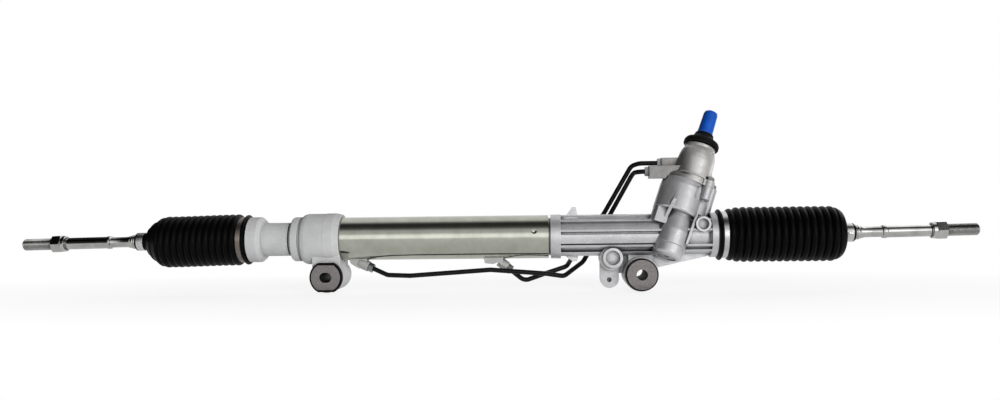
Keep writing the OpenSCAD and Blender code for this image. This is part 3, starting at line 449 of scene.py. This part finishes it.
class Boot:
    """One bellows, from its cuff on the housing to its neck on the tie rod; t runs outwards."""

    def __init__(self, side, outward, first, pitch, crests, depth, bead_t, dome, neck, sag):
        self.side = side
        self.place = outward_frame(0, outward)
        self.outward = outward
        self.first = first - pitch / 2
        self.last = self.first + pitch * len(crests)
        self.row = ridge_row(self.first, pitch, crests, depth)
        self.bead_t = bead_t
        self.dome = dome
        self.neck = neck
        self.sag = sag

    def piece(self, part, outline):
        name = f"{self.side}_boot_{part}"
        return lathe(name, outline, self.place, "boot_rubber", sag=self.sag_at)

    def sag_at(self, t):
        """Drop of the centre: grows over the ridges and turns into the rod's own over the dome."""
        if self.sag == 0 or t < self.first:
            return 0.0
        ball = -LEFT_BALL if self.outward < 0 else RIGHT_BALL
        up = smooth((t - self.first) / (self.last - self.first))
        down = smooth((t - self.last) / (self.dome[1][0][-1][0] - self.last))
        rod_drop = (t - ball) * math.tan(math.radians(LEFT_DROOP)) if t > ball else 0.0
        return up * (self.sag * (1 - down) + rod_drop * down)

    def build(self):
        end_r = self.row[-1][1]
        tail_in = [(self.first - 6, 30.7), (self.first - 0.4, 30.7)]
        tail_out = [(self.last + 0.5, end_r - 1.2), (self.last + 2.6, end_r - 1.8)]
        bellows = self.piece("bellows", shell(tail_in + self.row + tail_out))
        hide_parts(f"{self.side}_boot")
        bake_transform(bellows)
        self.build_cuff()
        self.build_dome()

    def build_cuff(self):
        bead = self.bead_t
        bulge = [(bead + BEAD_HALF_WIDTH * math.sin(a), BEAD_R + BEAD_HEIGHT * math.cos(a))
                 for a in (math.pi * (k / 10 - 0.5) for k in range(11))]
        lip = [(self.first - 0.6, 30.15), (self.first + 0.6, 31.6), (self.first + 0.6, CUFF_INNER)]
        outline = [(bead - BEAD_HALF_WIDTH, CUFF_INNER)] + bulge + lip
        cuff = self.piece("cuff", outline)
        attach(cuff, "housing")

    def build_dome(self):
        rack, seat, rod = "rack", f"{self.side}_ball_seat", f"{self.side}_tie_rod"
        (outer, outer_span), (inner, inner_span) = self.dome
        shoulder = self.piece("shoulder", shell(outer))
        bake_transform(shoulder)
        throat = self.piece("throat", shell(inner))
        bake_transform(throat)
        start, end = self.neck
        outline = [(start, 9.2), (start, 11.3), (end - 2.6, 11.3), (end - 1.8, 12.2),
                   (end - 0.6, 12.2), (end, 11.4), (end, 9.2)]
        neck = lathe(f"{self.side}_boot_neck", outline, rod_frame(self.outward), "boot_rubber")
        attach(neck, rod)


def smooth(u):
    """Smooth step from 0 to 1."""
    u = min(1.0, max(0.0, u))
    return u * u * (3 - 2 * u)


def arc_points(points, steps=6):
    """Smooth curve through (t, r) points."""
    out = []
    padded = [points[0]] + points + [points[-1]]
    for i in range(len(points) - 1):
        p0, p1, p2, p3 = padded[i:i + 4]
        for k in range(steps):
            u = k / steps
            out.append(tuple(
                0.5 * (2 * b + (c - a) * u + (2 * a - 5 * b + 4 * c - d) * u * u
                       + (3 * b - a - 3 * c + d) * u ** 3)
                for a, b, c, d in zip(p0, p1, p2, p3)))
    return out + [points[-1]]


def build_boots():
    left_shoulder = [(645.4, 31.6), (647.6, 33.4), (650.4, 32.8), (654.0, 30.0), (657.6, 27.2)]
    left_throat = [(657.2, 27.0), (659.4, 26.8), (662.4, 24.4), (665.2, 21.0), (667.2, 19.6),
                   (669.2, 15.8), (671.0, 12.4), (672.0, 11.2)]
    left_dome = ((arc_points(left_shoulder), (640.0, 662.0)),
                 (arc_points(left_throat), (653.0, 674.0)))
    Boot("left", -1, first=544.6, pitch=8.8, crests=[35.0] * 12, depth=2.9, bead_t=530.6,
         dome=left_dome, neck=(59.0, 75.2), sag=2.0).build()
    right_shoulder = [(254.4, 33.0), (256.2, 34.4), (258.6, 33.6), (261.6, 31.8)]
    right_throat = [(261.2, 31.6), (263.4, 30.2), (265.6, 26.4), (267.2, 20.6), (268.6, 15.0),
                    (269.6, 11.4)]
    right_dome = ((arc_points(right_shoulder), (250.0, 268.0)),
                  (arc_points(right_throat), (258.0, 271.0)))
    right_crests = [34.6, 36.2] + [36.6] * 11 + [36.5, 36.4]
    Boot("right", 1, first=118.5, pitch=9.4, crests=right_crests, depth=3.9, bead_t=104.5,
         dome=right_dome, neck=(60.5, 75.2), sag=0.0).build()


# Tie rods and jam nuts

BALL_R = 13
THREAD_R = 8.0
THREAD_PITCH = 1.5
THREAD_DEPTH = 0.92
THREAD_START = ROD_LENGTH - 59
THREAD_LENGTH = 58.4
THREAD_STEPS = 6       # outline points along one pitch
TIP_CHAMFER = 1.0      # length of the chamfer, which starts at CHAMFER_R at the tip's side
CHAMFER_R = 7.2


def rod_outline():
    """Ball, stem, wrench section and thread of a tie rod, from the ball centre outwards."""
    ball = [(-BALL_R * math.cos(a), BALL_R * math.sin(a))
            for a in (math.pi * k / 24 for k in range(1, 21))]
    stem = [(15, 6.6), (22, 6.5), (40, 8), (58, 8), (61, 9), (75.4, 9), (76.0, 10.0), (76.6, 10.4),
            (77.4, 10.4), (78.0, 9.6), (78.8, 9.1), (79.6, 9.3), (80.4, 9.6), (81.4, 9.4),
            (82.4, 8.6), (83.2, 8.2), (84.0, 8.4), (85.2, 8.3), (88, 7.25), (92, 7)]
    collar = ROD_LENGTH - 124.5
    middle = [(collar - 1, 7), (collar, 7.2), (collar + 0.8, 8.5), (collar + 1.6, 8.7),
              (collar + 5.6, 8.7), (collar + 6.4, 8.3), (collar + 7.4, THREAD_R),
              (THREAD_START - 3, THREAD_R), (THREAD_START - 1.6, 7.4)]
    count = int(THREAD_LENGTH / THREAD_PITCH * THREAD_STEPS)
    thread = [(THREAD_START + THREAD_PITCH * k / THREAD_STEPS, THREAD_R) for k in range(count)]
    tip = [(ROD_LENGTH - 0.9, CHAMFER_R), (ROD_LENGTH, 6.2)]
    return ball + stem + middle + thread + tip


def thread_shape(t, r, angle):
    """Radius with the helical thread cut in, which fades in at its start and out at the tip."""
    if t < THREAD_START or t > ROD_LENGTH - TIP_CHAMFER:
        return r
    turn = ((t - THREAD_START) / THREAD_PITCH - angle / (2 * math.pi)) % 1.0
    ridge = abs(2 * turn - 1)
    run_in = min(1.0, (t - THREAD_START) / THREAD_PITCH)
    chamfer = min(THREAD_R, CHAMFER_R + (ROD_LENGTH - TIP_CHAMFER - t) * 0.7)
    groove = min(1.0, max(0.0, 1.15 * ridge - 0.08))
    return min(chamfer, r - THREAD_DEPTH * run_in * groove)


def build_rods():
    for side, outward in (("left", -1), ("right", 1)):
        place = rod_frame(outward)
        rod = lathe(f"{side}_rod", rod_outline(), place, "rod_steel", steps=64,
                    shape=thread_shape, closed=False)
        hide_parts(f"{side}_tie_rod")
        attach(rod, f"{side}_tie_rod")
        nut = build_nut(f"{side}_nut", place)
        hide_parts(f"{side}_jam_nut")
        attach(nut, f"{side}_jam_nut")


NUT_FLATS = 22.0       # across the flats
NUT_START = ROD_LENGTH - 60
NUT_LENGTH = 18.0
WASHER_LENGTH = 5.0    # round part in front of the hexagon


def nut_shape(t, r, angle):
    """Washer face, then a hexagon with 30 degree chamfers."""
    u = t - NUT_START
    if r < 9 or u < WASHER_LENGTH + 0.01:
        return r
    sector = (angle + math.pi / 6) % (math.pi / 3) - math.pi / 6
    flat = NUT_FLATS / 2 / math.cos(sector)
    from_end = min(u - WASHER_LENGTH, NUT_LENGTH - u)
    return min(flat, NUT_FLATS / 2 - 0.1 + from_end * 1.9)


def build_nut(name, place):
    """Jam nut: washer face, hexagon with dense rows at both chamfers, and the bore."""
    near = [5.02 + 0.2 * k for k in range(8)]
    far = [16.5 + 0.2 * k for k in range(8)]
    rows = [(0, 8.3), (0, 10.3), (0.3, 10.6), (4.9, 10.6)]
    rows += [(u, 12.0) for u in near + [8.0, 11.5, 15.0] + far]
    rows += [(NUT_LENGTH, 8.6), (17.2, 8.06), (0.6, 8.06)]
    outline = [(NUT_START + u, r) for u, r in rows]
    return lathe(name, outline, place, "rod_steel", steps=72, shape=nut_shape)


# Stage, lights and camera

FLOOR_HALF_M = 6.0


def build_floor():
    mesh = bpy.data.meshes.new("floor")
    corners = [(x * FLOOR_HALF_M, y * FLOOR_HALF_M, FLOOR_Z * MM)
               for x, y in ((-1, -1), (1, -1), (1, 1), (-1, 1))]
    mesh.from_pydata(corners, [], [(0, 1, 2, 3)])
    floor = bpy.data.objects.new("floor", mesh)
    bpy.context.scene.collection.objects.link(floor)
    mesh.materials.append(floor_material())


def floor_material():
    """White sweep that glows a little, so only a soft shadow shows under the object."""
    s = Surface("white_sweep", specular=0.0)
    blotch = s.spread(s.noise(3.0), 0.0, 1.0)
    s.colour(s.blend(blotch, (0.80, 0.80, 0.80, 1), (0.84, 0.84, 0.84, 1)))
    s.roughness(s.spread(s.noise(8.0), 0.9, 0.98))
    glow = s.add("ShaderNodeEmission")
    glow.inputs["Color"].default_value = WHITE
    glow.inputs["Strength"].default_value = 1.0
    squeeze = s.add("ShaderNodeMapping")
    squeeze.inputs["Location"].default_value = (0.18, 0.0, 0.0)
    squeeze.inputs["Scale"].default_value = (1.0, 3.2, 0.0)
    s.link(s.coords, squeeze.inputs["Vector"])
    length = s.add("ShaderNodeVectorMath", operation="LENGTH")
    s.link(squeeze.outputs["Vector"], length.inputs[0])
    far = s.spread(length.outputs["Value"], 0.86, 1.0, 0.45, 1.1)
    seen = s.add("ShaderNodeLightPath").outputs["Is Camera Ray"]
    amount = s.add("ShaderNodeMix", data_type="FLOAT")
    s.link(seen, amount.inputs[0])
    amount.inputs[2].default_value = 0.38
    s.link(far, amount.inputs[3])
    mix = s.add("ShaderNodeMixShader")
    s.link(amount.outputs[0], mix.inputs["Fac"])
    s.link(s.shader.outputs["BSDF"], mix.inputs[1])
    s.link(glow.outputs["Emission"], mix.inputs[2])
    s.link(mix.outputs["Shader"], s.tree.nodes["Material Output"].inputs["Surface"])
    return s.material


# Studio dome: its brightness is the product of two ramps. DOME_ROUND goes by the angle round the
# X axis, in degrees from straight towards the viewer, up and over to the back. DOME_SIDE goes by
# the sideways part of the direction, from left to right.
DOME_STRENGTH = 3.5
DOME_ROUND = [
    (-180, 0.80), (-90, 0.40), (-8, 0.72), (4, 0.94), (15, 0.96), (22, 0.66), (28, 0.42),
    (40, 0.38), (45, 0.30), (51, 0.12), (58, 0.045), (70, 0.02), (84, 0.025), (92, 0.14),
    (100, 0.40), (110, 0.54), (150, 0.56), (180, 0.60)]
DOME_SIDE = [
    (-1.0, 0.012), (-0.60, 0.012), (-0.45, 0.02), (-0.36, 0.32), (-0.28, 0.44), (0.12, 0.45),
    (0.28, 0.52), (0.46, 0.80), (0.66, 0.82), (0.80, 0.34), (1.0, 0.10)]


def ramp_node(tree, value, stops):
    """Grey ramp over 0..1."""
    node = tree.nodes.new("ShaderNodeValToRGB")
    for i, (place, grey) in enumerate(stops):
        stop = node.color_ramp.elements[i] if i < 2 else node.color_ramp.elements.new(place)
        stop.position = place
        stop.color = (grey, grey, grey, 1)
    tree.links.new(value, node.inputs["Fac"])
    return node.outputs["Color"]


def math_node(tree, operation, *values):
    node = tree.nodes.new("ShaderNodeMath")
    node.operation = operation
    for value, socket in zip(values, node.inputs):
        if hasattr(value, "links"):
            tree.links.new(value, socket)
        else:
            socket.default_value = value
    return node.outputs["Value"]


def build_world():
    """White behind the object, and a studio dome for light and reflections."""
    world = bpy.data.worlds.new("studio")
    bpy.context.scene.world = world
    world.use_nodes = True
    tree = world.node_tree
    tree.nodes.clear()
    out = tree.nodes.new("ShaderNodeOutputWorld")
    path = tree.nodes.new("ShaderNodeLightPath")
    coords = tree.nodes.new("ShaderNodeTexCoord")
    split = tree.nodes.new("ShaderNodeSeparateXYZ")
    tree.links.new(coords.outputs["Generated"], split.inputs["Vector"])
    front = math_node(tree, "MULTIPLY", split.outputs["Y"], -1.0)
    angle = math_node(tree, "ARCTAN2", split.outputs["Z"], front)
    turn = math_node(tree, "MULTIPLY_ADD", angle, 0.5 / math.pi, 0.5)
    height = ramp_node(tree, turn, [(a / 360 + 0.5, grey) for a, grey in DOME_ROUND])
    sideways = math_node(tree, "MULTIPLY_ADD", split.outputs["X"], 0.5, 0.5)
    side = ramp_node(tree, sideways, [(x / 2 + 0.5, grey) for x, grey in DOME_SIDE])
    both = tree.nodes.new("ShaderNodeMix")
    both.data_type = "RGBA"
    both.blend_type = "MULTIPLY"
    both.inputs[0].default_value = 1.0
    colours = [s for s in both.inputs if s.type == "RGBA"]
    tree.links.new(height, colours[0])
    tree.links.new(side, colours[1])
    dome = tree.nodes.new("ShaderNodeBackground")
    dome.inputs["Strength"].default_value = DOME_STRENGTH
    tree.links.new(next(s for s in both.outputs if s.type == "RGBA"), dome.inputs["Color"])
    white = tree.nodes.new("ShaderNodeBackground")
    white.inputs["Color"].default_value = WHITE
    mix = tree.nodes.new("ShaderNodeMixShader")
    tree.links.new(path.outputs["Is Camera Ray"], mix.inputs["Fac"])
    tree.links.new(dome.outputs["Background"], mix.inputs[1])
    tree.links.new(white.outputs["Background"], mix.inputs[2])
    tree.links.new(mix.outputs["Shader"], out.inputs["Surface"])


KEY_PLACE_M = Vector((0.85, -1.9, 0.36))
KEY_TARGET_M = Vector((-0.1, 0.0, 0.06))
KEY_SIZE_M = 0.6
KEY_WATTS = 46.0


def build_light():
    """One softbox, which gives light but shows in no reflection."""
    light = bpy.data.lights.new("key_box", "AREA")
    light.shape = "RECTANGLE"
    light.size = KEY_SIZE_M
    light.size_y = KEY_SIZE_M
    light.energy = KEY_WATTS
    lamp = bpy.data.objects.new("key_box", light)
    bpy.context.scene.collection.objects.link(lamp)
    lamp.location = KEY_PLACE_M
    lamp.visible_glossy = False
    lamp.rotation_euler = (KEY_TARGET_M - KEY_PLACE_M).to_track_quat("-Z", "Y").to_euler()


CAMERA_YAW = 3.0              # degrees
CAMERA_ROLL = 0.75            # degrees
CAMERA_DISTANCE = 1188.0
CAMERA_TARGET = (-185.8, 0, 100.0)
CAMERA_SENSOR = 36.0
CAMERA_LENS = 31.68


def build_camera():
    """Level camera, slightly turned and rolled, fitted to the photograph."""
    yaw = math.radians(CAMERA_YAW)
    roll = math.radians(CAMERA_ROLL)
    forward = Vector((-math.sin(yaw), math.cos(yaw), 0))
    right = Vector((math.cos(yaw), math.sin(yaw), 0))
    up = Vector((0, 0, 1))
    side = right * math.cos(roll) - up * math.sin(roll)
    top = up * math.cos(roll) + right * math.sin(roll)
    place = Vector(CAMERA_TARGET) - forward * CAMERA_DISTANCE
    data = bpy.data.cameras.new("camera")
    data.sensor_fit = "HORIZONTAL"
    data.sensor_width = CAMERA_SENSOR
    data.lens = CAMERA_LENS
    data.clip_start = 0.02
    camera = bpy.data.objects.new("camera", data)
    bpy.context.scene.collection.objects.link(camera)
    turn = Matrix((side, top, -forward)).transposed().to_4x4()
    camera.matrix_world = Matrix.Translation(place * MM) @ turn
    bpy.context.scene.camera = camera


bpy.context.scene.view_settings.view_transform = "Standard"
build_camera()
build_world()
build_light()
build_floor()
dress_nodes()
build_boots()
build_rods()
